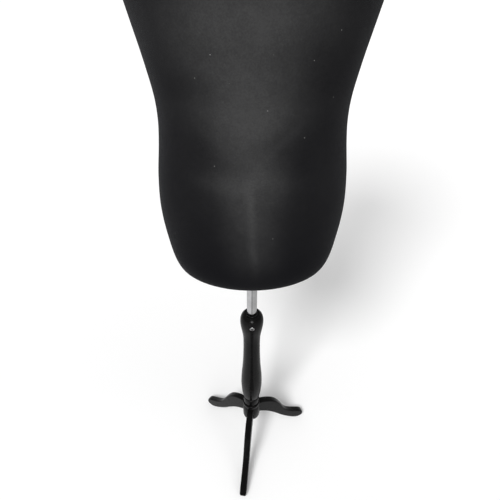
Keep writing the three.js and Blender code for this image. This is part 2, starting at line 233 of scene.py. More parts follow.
def prism(name, outline, sections, place):
    """A flat outline of (x, y) points, drawn in and lifted by each (inset, height) section, with
    a flat face over each end."""
    count = len(outline)
    flat = [Vector(p) for p in outline]
    inward = []
    for i, point in enumerate(flat):
        before = (point - flat[i - 1]).normalized()
        after = (flat[(i + 1) % count] - point).normalized()
        bisector = Vector((-before.y - after.y, before.x + after.x))
        bisector.normalize()
        half_turn = max(0.5, bisector.dot(Vector((-before.y, before.x))))
        inward.append(bisector / half_turn)
    points, rings = [], []
    for inset, height in sections:
        rings.append(list(range(len(points), len(points) + count)))
        for point, normal in zip(flat, inward):
            p = point + normal * inset
            points.append(place @ Vector((p.x * MM, p.y * MM, height * MM)))
    faces = ring_faces(rings) + [tuple(reversed(rings[0])), tuple(rings[-1])]
    return new_object(name, points, faces)


def swept(name, paths, up, section, closed):
    """Tubes along paths of points in metres. The section's (across, up) points are in
    millimetres, and up is the direction that they keep."""
    points, faces = [], []
    for path in paths:
        rings = []
        count = len(path)
        for i, point in enumerate(path):
            ahead = path[(i + 1) % count] if closed or i + 1 < count else point
            behind = path[i - 1] if closed or i > 0 else point
            along = (ahead - behind).normalized()
            across = along.cross(up).normalized()
            lift = across.cross(along)
            rings.append(list(range(len(points), len(points) + len(section))))
            points += [point + (across * a + lift * b) * MM for a, b in section]
        faces += ring_faces(rings, closed)
        if not closed:
            faces += [tuple(reversed(rings[0])), tuple(rings[-1])]
    return new_object(name, points, faces)


def oval(width, height, sides=12):
    """The (across, up) points of an oval tube section."""
    angles = [TURN * i / sides for i in range(sides)]
    return [(width / 2 * math.cos(a), height / 2 * math.sin(a)) for a in angles]


def carve(obj, cutters):
    """Cuts the cutters out of an object and removes them."""
    for cutter in cutters:
        cut = obj.modifiers.new("cut", "BOOLEAN")
        cut.operation = "DIFFERENCE"
        cut.solver = "EXACT"
        cut.object = cutter
    evaluated = obj.evaluated_get(bpy.context.evaluated_depsgraph_get())
    mesh = bpy.data.meshes.new_from_object(evaluated)
    obj.modifiers.clear()
    obj.data = mesh
    shade(mesh)
    for cutter in cutters:
        bpy.data.objects.remove(cutter)
    return obj


def hole(radius, start, end, place, segments=32):
    """A round cutter between two heights."""
    return turned("hole", [(0, start), (radius, start), (radius, end), (0, end)], place, segments)


def hexagon(angle, height=0):
    """The outline of a hexagon, as a share of its corner radius."""
    return math.cos(math.pi / 6) / math.cos(angle % (math.pi / 3) - math.pi / 6)


# ---- torso surface

TORSO_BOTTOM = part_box("jersey_cover")[0].z / MM
EDGE_RADIUS = 37
LIP_WIDTH = 15
ARM_PLANE = 203
ARMHOLE_MIDDLE = (4, 655)  # behind the axis and over the bottom
CLOTH_LIFT = 1.0  # over the CAD surface, so that no facet shows through
CLOTH_THICKNESS = 0.8
# height over the bottom, half width, depth before the axis, depth behind it, squareness
TORSO_STATIONS = [
    (0, 143, 101, 110, 1.9), (50, 161, 113, 121, 2.35),
    (110, 172, 111, 127, 2.35), (170, 176, 108, 125, 2.35),
    (230, 171.5, 104, 114, 2.35), (290, 162, 101, 100, 2.35),
    (325, 158, 101, 94, 2.35), (360, 158, 104, 93, 2.35),
    (410, 165, 111, 98, 2.35), (470, 176.5, 121, 105, 2.35),
    (530, 189, 127, 110, 2.35), (590, 204, 122, 114, 2.3),
    (625, 217, 112, 115, 2.25), (660, 223, 98, 113, 2.2),
    (685, 219, 85, 106, 2.15), (705, 203, 73, 97, 2.1),
    (720, 172, 66, 90, 2.05), (735, 135, 61, 84, 2),
    (750, 102, 58, 78, 2), (765, 78, 56, 72, 2),
    (780, 65, 55, 67, 2), (806, 59, 54, 62, 2),
]
NECK_TOP = TORSO_STATIONS[-1][0]
torso_shape = Spline(TORSO_STATIONS)


def torso_points(height, inset, angle):
    """Points of the torso's outside in millimetres from the axis and the bottom. Angle is 0 at the
    left side (+X) and a quarter turn back from the front."""
    half_width, front, back, squareness = torso_shape.at(height)
    cosine, sine = np.cos(angle), np.sin(angle)
    depth = np.where(sine < 0, front, back)
    power = np.abs(cosine) ** squareness + np.abs(sine) ** squareness
    swell = power ** (-1 / squareness)
    x = (half_width - inset) * cosine * swell
    y = (depth - inset) * sine * swell
    return np.stack([x, y, height + 0 * x], axis=-1)


def in_frame(points):
    """Torso millimetres as metres in the frame."""
    return (points + np.array([axis.x / MM, axis.y / MM, TORSO_BOTTOM])) * MM


def torso_rings():
    """(height, inset) of each ring of the cover, from the inner edge of the lip to the neck."""
    lip_steps, edge_steps, side_steps = 4, 10, 160
    lip = [(0, EDGE_RADIUS + LIP_WIDTH * (1 - i / lip_steps)) for i in range(lip_steps)]
    turns = [i / edge_steps * math.pi / 2 for i in range(edge_steps)]
    edge = [(EDGE_RADIUS * (1 - math.cos(t)), EDGE_RADIUS * (1 - math.sin(t))) for t in turns]
    rise = NECK_TOP - EDGE_RADIUS
    return lip + edge + [(EDGE_RADIUS + rise * i / side_steps, 0) for i in range(side_steps + 1)]


def torso_angles(count=224, gather=0.35):
    """Angles round the torso, closer together at the middle of the front and of the back."""
    even = np.arange(count) * TURN / count
    return even + gather * np.sin(2 * even) / 2


def bump(distance, width):
    """A smooth bump, 1 in the middle and nearly 0 a width away."""
    return np.exp(-2.5 * (distance / width) ** 2)


def ramp(value, start, end):
    t = np.clip((value - start) / (end - start), 0, 1)
    return t * t * (3 - 2 * t)


# where the jersey is pulled tight over the front, which lifts it and paints a sheen on it: height, middle,
# half width, how tight
TIGHT_FRONT_SHEEN = Spline([
    (0, 4, 40, 0), (45, 4, 40, 0.05),
    (80, 3, 40, 0.2), (125, -2, 40, 0.4),
    (180, -4, 40, 0.5), (220, -6, 44, 0.68),
    (252, -10, 50, 0.92), (275, -8, 44, 0.75),
    (305, -8, 46, 0.75), (330, -10, 56, 0.95),
    (360, -12, 63, 1.12), (390, -8, 60, 0.95),
    (430, -13, 74, 0.95), (460, -13, 84, 1.05),
    (520, -8, 80, 1), (600, 0, 90, 0.7),
    (700, 0, 60, 0.3), (806, 0, 40, 0.2),
])


def tightness_and_sheen(x, y, height):
    """How tight the jersey is pulled, from 0 at the sides to 1 over the belly and the chest. The value
    lifts the cloth and also paints it lighter as a painted sheen.
    """
    middle, half_width, strength = TIGHT_FRONT_SHEEN.at(height)
    broad = strength * np.exp(-0.7 * (np.abs(x - middle) / half_width) ** 2.4)
    # painted highlight along the middle ridge of the lower front
    keel = 0.3 * bump(x - middle, 13) * ramp(height, 40, 135) * (1 - ramp(height, 225, 265))
    # painted sheen over the back, most over the seat and the shoulder blades
    seat = sum(0.3 * bump(np.hypot(side - 62, height - 110), 75) for side in (x, -x))
    blades = sum(0.35 * bump(np.hypot(side - 80, height - 590), 85) for side in (x, -x))
    back = (0.5 + seat + blades) * ramp(height, 0, 60)
    blend = ramp(y, -40, 25)
    return (broad + keel) * (1 - blend) + back * blend


def crease(x, height, start, end, width):
    """A line in the cloth between two (x, height) places, tapering off past its ends."""
    along = Vector(end) - Vector(start)
    length = along.length
    along.normalize()
    travel = (x - start[0]) * along.x + (height - start[1]) * along.y
    aside = (x - start[0]) * along.y - (height - start[1]) * along.x
    return bump(aside, width) * ramp(travel, -12, 12) * (1 - ramp(travel, length - 12, length + 12))


def cloth_relief(x, y, height):
    """How far the cloth stands out over the plain shape."""
    side_seam = bump(y, 5) * (-0.7)
    back_seam = bump(x, 4) * (-0.6) * (y > 0)
    folds = 1.3 * crease(x, height, (80, 336), (34, 300), 11)
    folds -= 0.9 * crease(x, height, (66, 345), (16, 292), 10)
    folds += 0.6 * crease(x, height, (-88, 336), (-44, 300), 13)
    folds -= 0.6 * crease(x, height, (-72, 345), (-36, 296), 12)
    keel = 1.1 * bump(x + 2, 14) * ramp(height, 20, 90) * (1 - ramp(height, 225, 280))
    swell = 1.8 * tightness_and_sheen(x, y, height)
    return side_seam + back_seam + swell + (folds + keel) * (y < 0)


def soft_limit(x, limit, rounding):
    """x held inside the limit on both sides, with a rounded shoulder."""
    size = np.abs(x)
    past = size - (limit - rounding)
    held = limit - rounding * np.exp(-np.clip(past, 0, None) / rounding)
    return np.sign(x) * np.where(past > 0, held, size)


def torso_normals(height, inset, angle):
    """Outward normals of the torso, from its slopes along the rings and across them."""
    points = torso_points(height, inset, angle)
    step = 1e-3
    around = torso_points(height, inset, angle + step) - torso_points(height, inset, angle - step)
    along = np.gradient(points, axis=0)
    normals = np.cross(around, along)
    return normals / np.linalg.norm(normals, axis=-1, keepdims=True)


def arc_lengths(points, start):
    """Distance along each row of points from its start column, negative before it."""
    steps = np.linalg.norm(np.diff(points, axis=1), axis=-1)
    total = np.concatenate([np.zeros((len(points), 1)), np.cumsum(steps, axis=1)], axis=1)
    return total - total[:, start:start + 1]


def jersey_fabric():
    """The knitted cover: a thin closed skin from the lip under the torso to the neck."""
    rings = np.array(torso_rings(), float)
    angles = torso_angles()
    height, angle = np.meshgrid(rings[:, 0], angles, indexing="ij")
    inset = np.broadcast_to(rings[:, 1:2], height.shape)
    points = torso_points(height, inset, angle)
    normals = torso_normals(height, inset, angle)
    lift = CLOTH_LIFT + cloth_relief(*np.moveaxis(points, -1, 0))
    outside = points + normals * lift[..., None]
    inside = points + normals * (lift - CLOTH_THICKNESS)[..., None]
    outside[..., 0] = soft_limit(outside[..., 0], ARM_PLANE + CLOTH_LIFT, 5)
    inside[..., 0] = soft_limit(inside[..., 0], ARM_PLANE + CLOTH_LIFT - CLOTH_THICKNESS, 5)
    count = len(angles)
    skin = np.concatenate([outside, inside[::-1]]).reshape(-1, 3)
    loops = [list(range(k * count, (k + 1) * count)) for k in range(2 * len(rings))]
    obj = new_object("jersey_fabric", in_frame(skin), ring_faces(loops, closed=True))
    store_cloth_grain(obj, outside, len(rings), count)
    # tightness, which paints a sheen, minus painted shade towards the bottom; kept on each point for the
    # cloth's colour and roughness
    stretch_sheen_shade_values = tightness_and_sheen(*np.moveaxis(points, -1, 0)) - BOTTOM_PAINTED_SHADE * (1 - ramp(height, 0, 240))
    nap = obj.data.attributes.new("nap", "FLOAT", "POINT")
    nap.data.foreach_set("value", np.concatenate([stretch_sheen_shade_values, stretch_sheen_shade_values[::-1]]).astype(np.float32).ravel())
    return obj


def store_cloth_grain(obj, surface, ring_count, column_count):
    """Stores the (across, along) millimetres of the knit on every face corner. The front and the
    back are separate panels, each with its grain down the middle."""
    wrapped = np.concatenate([surface, surface[:, :1]], axis=1)
    quarter = column_count // 4
    front, back = arc_lengths(wrapped, 3 * quarter), arc_lengths(wrapped, quarter)
    along = arc_lengths(np.swapaxes(surface, 0, 1)[quarter:quarter + 1], 0)[0]
    mesh = obj.data
    corner_vertex = np.empty(len(mesh.loops), int)
    mesh.loops.foreach_get("vertex_index", corner_vertex)
    corner_total = np.array([p.loop_total for p in mesh.polygons])
    face_of = np.repeat(np.arange(len(mesh.polygons)), corner_total)
    ring = corner_vertex // column_count
    ring = np.minimum(ring, 2 * ring_count - 1 - ring)
    column = corner_vertex % column_count
    first_corner = np.concatenate([[0], np.cumsum(corner_total)[:-1]])
    widest = np.maximum.reduceat(column, first_corner)
    narrowest = np.minimum.reduceat(column, first_corner)
    wraps = widest - narrowest > 1
    column = np.where(wraps[face_of] & (column == 0), column_count, column)
    face_column = np.where(wraps, column_count - 1, narrowest)[face_of]
    is_front = face_column >= column_count // 2
    across = np.where(is_front, front[ring, column], back[ring, column])
    grain = np.stack([across, along[ring], 0 * across], axis=-1)
    layer = mesh.attributes.new("grain", "FLOAT_VECTOR", "CORNER")
    layer.data.foreach_set("vector", grain.astype(np.float32).ravel())


# ---- torso trim

def arm_plane_reach(y, height):
    """How far out the torso's side would stand at a place on the arm plane."""
    half_width, front, back, squareness = torso_shape.at(np.array(height, float))
    depth = front if y < 0 else back
    share = min(1.0, abs(y) / depth)
    return half_width * (1 - share ** squareness) ** (1 / squareness)


def armhole_loop(side, draw_in=1.5, count=160):
    """The rim of the flat armhole face, found by halving the way out from its middle."""
    middle = np.array([side * (ARM_PLANE + CLOTH_LIFT - draw_in), *ARMHOLE_MIDDLE])
    loop = []
    for i in range(count):
        out = np.array([0, math.cos(TURN * i / count), math.sin(TURN * i / count)])
        near, far = 0.0, 150.0
        for _ in range(30):
            reach = (near + far) / 2
            if arm_plane_reach(*(middle + reach * out)[1:]) > ARM_PLANE:
                near = reach
            else:
                far = reach
        loop.append(Vector(in_frame(middle + near * out)))
    return loop


def armhole_piping(side, name):
    """A corded edge sewn round the armhole."""
    return swept(name, [armhole_loop(side)], Vector((1, 0, 0)), oval(4.2, 4.2), closed=True)


def lip_loop(inset, lift, count=200):
    """A loop round the opening under the torso."""
    angles = np.arange(count) * TURN / count
    points = torso_points(np.zeros(count), np.full(count, float(inset)), angles)
    points[:, 2] += lift
    return [Vector(p) for p in in_frame(points)]


def hem_band():
    """The turned-in hem of the cover, round the opening under the torso."""
    inner = EDGE_RADIUS + LIP_WIDTH
    return swept("hem_band", [lip_loop(inner - 1, 0)], Vector((0, 0, 1)), oval(3.4, 3), closed=True)


def hem_staples(count=44, crown=10, sink=1.2):
    """Staples that hold the cover's lip to the base board."""
    loop = lip_loop(EDGE_RADIUS + LIP_WIDTH - 6, -CLOTH_LIFT - 0.2, count)
    paths = []
    for i, place in enumerate(loop):
        along = (loop[(i + 1) % count] - loop[i - 1]).normalized()
        half = along * crown / 2 * MM
        up = Vector((0, 0, sink * MM))
        corner = along * 0.5 * MM
        left, right = place - half, place + half
        paths.append([left + up, left + up * 0.25, left + corner])
        paths[-1] += [right - corner, right + up * 0.25, right + up]
    return swept("hem_staples", paths, Vector((0, 0.001, 1)), oval(1.2, 0.7, 8), closed=False)


def neck_cap():
    """The turned oval cap on the neck, with a rounded edge and a scribed line."""
    profile = [
        (0, 0), (-8, 0), (0.6, 0), (1.8, 0.3), (2.6, 1.1), (3, 2.2), (3, 4.6), (2.7, 5.2),
        (2.2, 5.5), (2.7, 5.8), (3, 6.4), (3, 9.4), (2.6, 10.9), (1.5, 12.2), (0, 13),
        (-3, 13.5), (-12, 13.8), (-30, 14),
    ]
    count = 128
    angles = np.arange(count) * TURN / count
    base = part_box("neck_cap")[0].z / MM - TORSO_BOTTOM
    points, rings = [], []
    for overhang, rise in profile[1:]:
        loop = torso_points(np.full(count, float(NECK_TOP)), np.full(count, -float(overhang)), angles)
        loop[:, 2] = base + rise
        rings.append(list(range(len(points), len(points) + count)))
        points += [Vector(p) for p in in_frame(loop)]
    for at, rise in ((0, profile[0][1]), (len(rings) + 1, profile[-1][1])):
        rings.insert(at, [len(points)])
        points.append(Vector(in_frame(np.array([0, 0, base + rise]))))
    return new_object("neck_cap_turned", points, ring_faces(rings))


# ---- socket under the torso

FLANGE_SCREWS = [f"flange_screw_{i}" for i in range(1, 5)]


def socket_flange():
    """The steel flange: collar, weld bead, plate and the closed tube above it."""
    ripple = lambda angle, height: 1 + 0.012 * math.sin(34 * angle)
    profile = [
        (12.9, 1), (13.9, 0), *fillet((16.2, 0.8), 0.8, -90, 0, 4), (17, 24.6),
        (17.8, 25.2, ripple), (19.2, 26, ripple), (20.2, 27.4, ripple), (20.6, 28.3),
        (37.2, 28.3), *fillet((37.2, 29.1), 0.8, -90, 0, 3), *fillet((37.2, 30.5), 0.8, 0, 90, 3),
        (15, 31.3), (15, 128), (14, 129), (11, 129), (10, 126), (12.9, 126),
    ]
    obj = turned("socket_flange_welded", profile, on_axis("socket_flange"), segments=144)
    cutters = [hole(2.4, 20, 40, beneath("socket_flange", middle_of(name)), 24) for name in FLANGE_SCREWS]
    thumb_height = middle_of("socket_thumb_screw").z
    return carve(obj, cutters + [hole(3.3, 8, 22, facing(thumb_height, 180))])


def cross_recess(angle, height):
    """A cross outline, as a share of its arm length."""
    nearer = min(abs(math.sin(angle)), abs(math.cos(angle)))
    return min(1, 0.3 / max(nearer, 1e-6))


def flange_screw(name):
    """A pan-head wood screw that points up, with a cross recess and a thread."""
    length = length_of(name)
    profile = [
        (0, 1.5), (0.7, 1.3, cross_recess), (2, 0.35, cross_recess), (2.3, 0.02),
        (3, 0.15), (3.6, 0.6), (3.95, 1.3), (4, 2.1), (3.8, 2.4), (2, 2.4), (1.75, 2.7),
    ]
    profile += threaded(1.75, 2.8, length - 4.8, 60, thread_shape(1.6, 0.16))
    profile += [(1.3, length - 1.4), (0, length)]
    return turned(name + "_driven", profile, beneath(name, middle_of(name)), segments=48)


def thread_shape(pitch, depth):
    """A helical thread, as a function of angle and height."""
    def shape(angle, height):
        phase = (height / pitch - angle / TURN) % 1
        return 1 + depth * (abs(2 * phase - 1) - 0.5)
    return shape


def threaded(radius, start, length, steps, thread):
    """The profile rows of a threaded stretch."""
    return [(radius, start + length * i / steps, thread) for i in range(steps + 1)]


def thumb_screw():
    """A moulded knob with five lobes on a threaded shank, pointing back from the collar."""
    lobes = lambda angle, height: 1 - 0.07 * (1 + math.cos(5 * angle)) / 2
    place = facing(middle_of("socket_thumb_screw").z, 180)
    knob = turned("thumb_screw_knob", [
        (0, 18.3), (5.6, 18.3), (6.2, 18.6), (6.6, 19.6), (8.2, 20.3, lobes), (8.9, 21.2, lobes),
        (9.1, 22.6, lobes), (9.1, 25.8, lobes), (8.8, 27.3, lobes), (8.0, 28.3, lobes),
        (6.6, 28.8), (5.2, 28.9), (4.7, 28.5), (4.3, 28.3), (0, 28.3),
    ], place, segments=120)
    rod = [(0, 13), (2.2, 13), (2.8, 13.5)]
    rod += threaded(2.85, 13.6, 4.5, 40, thread_shape(1, 0.1)) + [(2.7, 18.2), (0, 18.2)]
    return knob, turned("thumb_screw_shank", rod, place, segments=48)


# ---- pole and column

def pole():
    """The chromed tube, with softened ends."""
    length = length_of("pole_tube")
    profile = [
        (11.2, 0), (12.2, 0), (12.5, 0.3), (12.5, length / 2), (12.5, length - 0.3),
        (12.2, length), (11.2, length), (11, length - 0.2), (11, length / 2), (11, 0.2),
    ]
    return turned("pole_chromed", profile, on_axis("pole_tube"), segments=128)


CLAMP_SEAT = 22.8


def column():
    """The turned column: foot bead, swelling vase, neck and rounded head, bored for the pole."""
    vase = [
        (23.6, 32.7), (25.6, 41.7), (28.2, 59.7), (30.2, 93.7), (29.6, 125.7), (27.8, 151.7),
        (25.6, 179.7), (24, 207.7), (22.9, 237.7), (22.3, 265.7), (22.3, 289.7), (23.2, 307.7),
        (25.2, 323.7), (27.6, 338.7), (29.1, 350.7), (29.6, 361.7), (28.8, 371.7), (25.8, 380.7),
        (21, 387.2), (17.6, 389.6),
    ]
    profile = [(0, 40), (4.3, 40), (4.3, 0.4), (4.8, 0), (20.6, 0)]
    profile += fillet((20.6, 1.6), 1.6, -90, -20, 4)
    profile += [(22.6, 2.6), (23.3, 3.2), (23.8, 4.2), (24, 6), (24, 12), (23.8, 20), (23.4, 27.6)]
    profile += [(22.9, 28.8), (22, 29.5), (21.5, 30.1), (21.6, 30.8), (22.3, 31.4)]
    profile += catmull_rom(vase, 6)
    profile += [(16.9, 389.7), (16.1, 389), (16.1, 319.7), (13.2, 319.7), (13.2, 51.7), (0, 51.7)]
    obj = turned("column_turned", profile, on_axis("column"), segments=192)
    seat = [(0, CLAMP_SEAT), (7.4, CLAMP_SEAT), (7.4, 27.6), (7.8, 28.4), (9, 29.4), (10, 40), (0, 40)]
    place = facing(middle_of("clamp_screw").z, 0)
    return carve(obj, [turned("seat", seat, place, 96), hole(5.3, 10, 26, place, 64)])


def column_bush():
    """The moulded bush that the pole slides in, with a rounded rim."""
    length = length_of("column_bush")
    profile = [
        (12.9, 0.6), (13.5, 0), (15.4, 0), (15.8, 0.4), (15.8, length - 1.4), (15.5, length - 0.4),
        (14.9, length), (13.7, length), (13.1, length - 0.3), (12.9, length - 1),
    ]
    obj = turned("column_bush_moulded", profile, on_axis("column_bush"), segments=128)
    return carve(obj, [hole(3.6, 10, 20, facing(middle_of("clamp_screw").z, 0))])


def clamp_screw():
    """A cap screw with a hexagon socket, seated in the column's head."""
    seat = CLAMP_SEAT + 0.3
    top = seat + 5.4
    profile = [(0, 13), (2.3, 13), (2.8, 13.5)]
    profile += threaded(2.85, 13.6, seat - 14, 90, thread_shape(1, 0.1))
    profile += [
        (2.9, seat), (5.9, seat), (6.3, seat + 0.4), (6.3, top - 1.6), (6.1, top - 0.8), (5.6, top - 0.2),
        (5, top), (3.6, top), (3.35, top - 0.1, hexagon), (3.3, top - 0.5, hexagon),
        (3.3, top - 3, hexagon), (0, top - 3.6),
    ]
    return turned("clamp_screw_chromed", profile, facing(middle_of("clamp_screw").z, 0))


# ---- hub and tripod

LEG_THICKNESS = 19
CLEARANCE = 0.3
LEG_TURNS = {"front": -9, "left": 111, "right": -129}
DOWELS = [(name, level) for name in LEG_TURNS for level in ("upper", "lower")]


def dowel_cutter(name, level, start, end):
    height = middle_of(f"leg_dowel_{name}_{level}").z
    return hole(4.3, start, end, facing(height, LEG_TURNS[name]))


def hub():
    """The turned hub that the legs are tenoned into."""
    profile = [(4.3, 0.4), (4.7, 0), (16.4, 0)]
    profile += catmull_rom([(17, 0.05), (22, 1.8), (25.2, 6), (26.4, 12)], 5)
    profile += [(26.4, 65.5), (26.2, 66), (25.9, 66.3), (26.2, 66.6), (26.4, 67.1), (26.4, 74)]
    profile += [(26.2, 75.4), (25.6, 76.6), (24.4, 77.5), (22.6, 78), (4.7, 78), (4.3, 77.6)]
    obj = turned("hub_turned", profile, on_axis("hub"), segments=192)
    cutters = []
    half = LEG_THICKNESS / 2 + CLEARANCE
    for name, degrees in LEG_TURNS.items():
        slot = [(-half, -40), (half, -40), (half, -16.7), (-half, -16.7)]
        slot_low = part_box("hub")[0].z / MM - 5
        slot_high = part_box(f"leg_{name}")[1].z / MM + CLEARANCE
        cutters.append(prism("slot", slot, [(0, slot_low), (0, slot_high)], turned_by(degrees)))
    cutters += [dowel_cutter(name, level, 8.2, 30) for name, level in DOWELS]
    return carve(obj, cutters)


def leg_outline():
    """A leg's side view: distance from the axis, height over the floor."""
    underside = [
        (27, 140), (44, 129), (65, 111), (86, 88), (108, 61), (132, 36), (155, 16), (170, 6.5),
    ]
    topside = [
        (188, 4.3), (194, 7), (197, 15), (194.5, 26), (185, 37), (169, 48), (149, 62), (132, 77),
        (119, 95), (109, 117), (99, 137), (86, 157), (71, 172), (53, 183.5), (35, 190.5), (24, 192),
    ]
    return [(17, 140)] + catmull_rom(underside, 8) + [(174, 4.3)] + catmull_rom(topside, 8) + [(17, 192)]


def leg(name):
    """A sawn leg with well-rounded edges, standing out from the hub."""
    rounding = 4
    half = LEG_THICKNESS / 2
    flat = rounding + 0.8
    arc = fillet((rounding, half - rounding), rounding, 90, 180, 6)
    sections = [(flat, -half)] + [(inset, -height) for inset, height in arc]
    sections += list(reversed(arc)) + [(flat, half)]
    stand = Matrix(((0, 0, -1, 0), (-1, 0, 0, 0), (0, 1, 0, 0), (0, 0, 0, 1)))
    obj = prism(f"leg_{name}_carved", leg_outline(), sections, turned_by(LEG_TURNS[name]) @ stand)
    return carve(obj, [dowel_cutter(name, level, 10, 42.3) for level in ("upper", "lower")])


def foot_glide(name):
    """A nylon glide with a rounded rim, nailed up into the toe."""
    node = f"foot_glide_{name}"
    profile = [
        (0, 1.2), (1.6, 1.1), (2.1, 0.7), (2.2, 0.3), (3, 0), (5.4, 0), (6.4, 0.35), (6.9, 1.1),
        (7, 2), (7, 3.4), (6.7, 3.9), (6.2, 4), (0, 4),
    ]
    return turned(node + "_moulded", profile, beneath(node, middle_of(node)), segments=64)


def tie_rod():
    """The threaded rod that pulls the hub and the column together."""
    length = length_of("tie_rod")
    profile = [(0, 0), (3.1, 0), (3.6, 0.5)]
    profile += threaded(3.76, 0.6, length - 1.2, int(length * 8), thread_shape(1.25, 0.12))
    profile += [(3.6, length - 0.5), (3.1, length), (0, length)]
    return turned("tie_rod_threaded", profile, on_axis("tie_rod"), segments=36)


def tie_washer():
    profile = [(4.3, 0.2), (4.5, 0), (11.6, 0), (12, 0.4), (12, 1.7), (11.7, 2), (4.5, 2), (4.3, 1.8)]
    return turned("tie_washer_pressed", profile, on_axis("tie_washer"))


def tie_nut():
    """A hexagon nut with chamfered corners."""
    def chamfered(angle, height):
        corner = 1 - 0.13 * max(0, 1 - height / 1.6, 1 - (6.5 - height) / 1.6)
        return min(hexagon(angle), corner)
    heights = [0, 0.4, 0.9, 1.6, 3.2, 4.9, 5.6, 6.1, 6.5]
    profile = [(4.3, 0.5), (4.8, 0)] + [(7.5, h, chamfered) for h in heights] + [(4.8, 6.5), (4.3, 6)]
    return turned("tie_nut_pressed", profile, on_axis("tie_nut"))


# ---- shader building blocks

class Shader:
    """A material's node tree around one Principled shader."""

    def __init__(self, name, **constants):
        self.material = bpy.data.materials.new(name)
        self.material.use_nodes = True
        self.tree = self.material.node_tree
        self.surface = self.tree.nodes["Principled BSDF"]
        for socket, value in constants.items():
            self.surface.inputs[socket.replace("_", " ")].default_value = value

    def node(self, kind, output=0, inputs=None, **settings):
        """Adds a node, whose inputs are values or outputs, and returns its output or outputs."""
        made = self.tree.nodes.new("ShaderNode" + kind)
        for name, value in settings.items():
            setattr(made, name, value)
        for key, value in (inputs or {}).items():
            if isinstance(value, bpy.types.NodeSocket):
                self.tree.links.new(value, made.inputs[key])
            else:
                made.inputs[key].default_value = value
        return made.outputs[output]

    def math(self, operation, a, b=0.0, c=0.0):
        return self.node("Math", inputs={0: a, 1: b, 2: c}, operation=operation)

    def plus(self, a, b):
        return self.math("ADD", a, b)

    def times(self, a, b):
        return self.math("MULTIPLY", a, b)

    def split(self, vector):
        """The x, y and z of a vector."""
        return self.node("SeparateXYZ", slice(3), {"Vector": vector})

    def place(self, stretch=(1, 1, 1)):
        """Object coordinates in millimetres, divided by the stretch."""
        point = self.node("TexCoord", "Object")
        scale = [1 / MM / s for s in stretch]
        return self.node("Mapping", inputs={"Vector": point, "Scale": scale})

    def noise(self, size, stretch=(1, 1, 1), detail=2, roughness=0.55, distortion=0.0):
        """Noise from 0 to 1 whose features are about size millimetres, times the stretch."""
        inputs = {"Vector": self.place(stretch), "Scale": 1 / size, "Detail": detail,
                  "Roughness": roughness, "Distortion": distortion}
        return self.node("TexNoise", "Fac", inputs)

    def remap(self, value, low, high, to_low, to_high):
        inputs = {"Value": value, "From Min": low, "From Max": high, "To Min": to_low, "To Max": to_high}
        return self.node("MapRange", 0, inputs)

    def blend(self, share, first, second):
        """A colour between two, each a (red, green, blue) or another node's output."""
        first, second = ((*c, 1) if isinstance(c, tuple) else c for c in (first, second))
        return self.node("Mix", 2, {0: share, 6: first, 7: second}, data_type="RGBA")

    def grade(self, value, low, high, first, second):
        """A colour that goes from first to second while a value goes from low to high."""
        return self.blend(self.remap(value, low, high, 0, 1), first, second)

    def drive(self, **outputs):
        """Links outputs to the surface's sockets and returns the material."""
        for socket, output in outputs.items():
            self.tree.links.new(output, self.surface.inputs[socket.replace("_", " ")])
        return self.material

    def finish(self, colour, rough, height, depth):
        """Colours the surface and embosses it: a height of 1 stands for depth millimetres."""
        normal = self.node("Bump", 0, {"Height": height, "Distance": depth * MM, "Strength": 1.0})
        return self.drive(Base_Color=colour, Roughness=rough, Normal=normal)


# ---- materials

WALE_PITCH, COURSE_PITCH = 0.95, 0.75  # of the knit's loops, across and along
BOTTOM_PAINTED_SHADE = 0.17  # painted shade: how far below 0 the value goes towards the bottom of the form, darkening the cloth there
LINT_SPACING = 22


def jersey_material():
    """Black knitted jersey: ribs of small loops, a brushed fuzz, lint and slow fading. It is smoother
    where it is pulled tight and painted lighter there as a painted sheen, and it is painted darker towards
    the bottom as painted shade."""
    s = Shader("jersey_knit", Sheen_Weight=0.04, Sheen_Roughness=0.4, Sheen_Tint=(0.85, 0.86, 0.9, 1),
               Specular_IOR_Level=0.16)
    weave = s.split(s.node("Attribute", "Vector", attribute_name="grain"))
    nap = s.node("Attribute", "Fac", attribute_name="nap")
    across = s.math("DIVIDE", weave[0], WALE_PITCH)
    along = s.math("DIVIDE", weave[1], COURSE_PITCH)
    fold = s.times(s.math("ABSOLUTE", s.math("SUBTRACT", s.math("FRACT", across), 0.5)), 2.0)
    phase = s.times(s.plus(along, s.times(fold, 0.6)), TURN)
    loops = s.math("MULTIPLY_ADD", s.math("SINE", phase), 0.25, 0.25)
    ribs = s.times(s.math("SINE", s.times(fold, math.pi)), 0.5)
    fuzz = s.noise(0.5, detail=4)
    height = s.plus(s.plus(loops, ribs), s.times(fuzz, 0.9))
    fading = s.noise(60, detail=3)
    wear = s.noise(9, detail=4, roughness=0.65)
    mottle = s.noise(2.6, roughness=0.6)
    tone = s.times(s.remap(height, 0.3, 1.6, 0.55, 1.35), s.remap(fading, 0.3, 0.7, 0.85, 1.18))
    tone = s.times(tone, s.remap(wear, 0.3, 0.7, 0.9, 1.1))
    # painted sheen and painted shade: lighter where the cloth is pulled tight, darker towards the bottom
    tone = s.times(tone, s.remap(nap, -BOTTOM_PAINTED_SHADE, 1, 0.0, 2.45))
    tone = s.times(tone, s.remap(mottle, 0.3, 0.7, 0.86, 1.14))
    colour = s.grade(tone, 0, 3, (0.001, 0.001, 0.0021), (0.056, 0.0558, 0.0562))
    cells = {"Vector": s.place(), "Scale": 1 / LINT_SPACING}
    lint = s.node("TexVoronoi", "Distance", cells, feature="F1")
    colour = s.blend(s.remap(lint, 0.015, 0.028, 1, 0), colour, (0.5, 0.49, 0.48))
    rough = s.plus(s.remap(nap, 0, 1, 0.86, 0.6), s.remap(fuzz, 0.3, 0.7, -0.06, 0.06))
    return s.finish(colour, rough, height, 0.14)


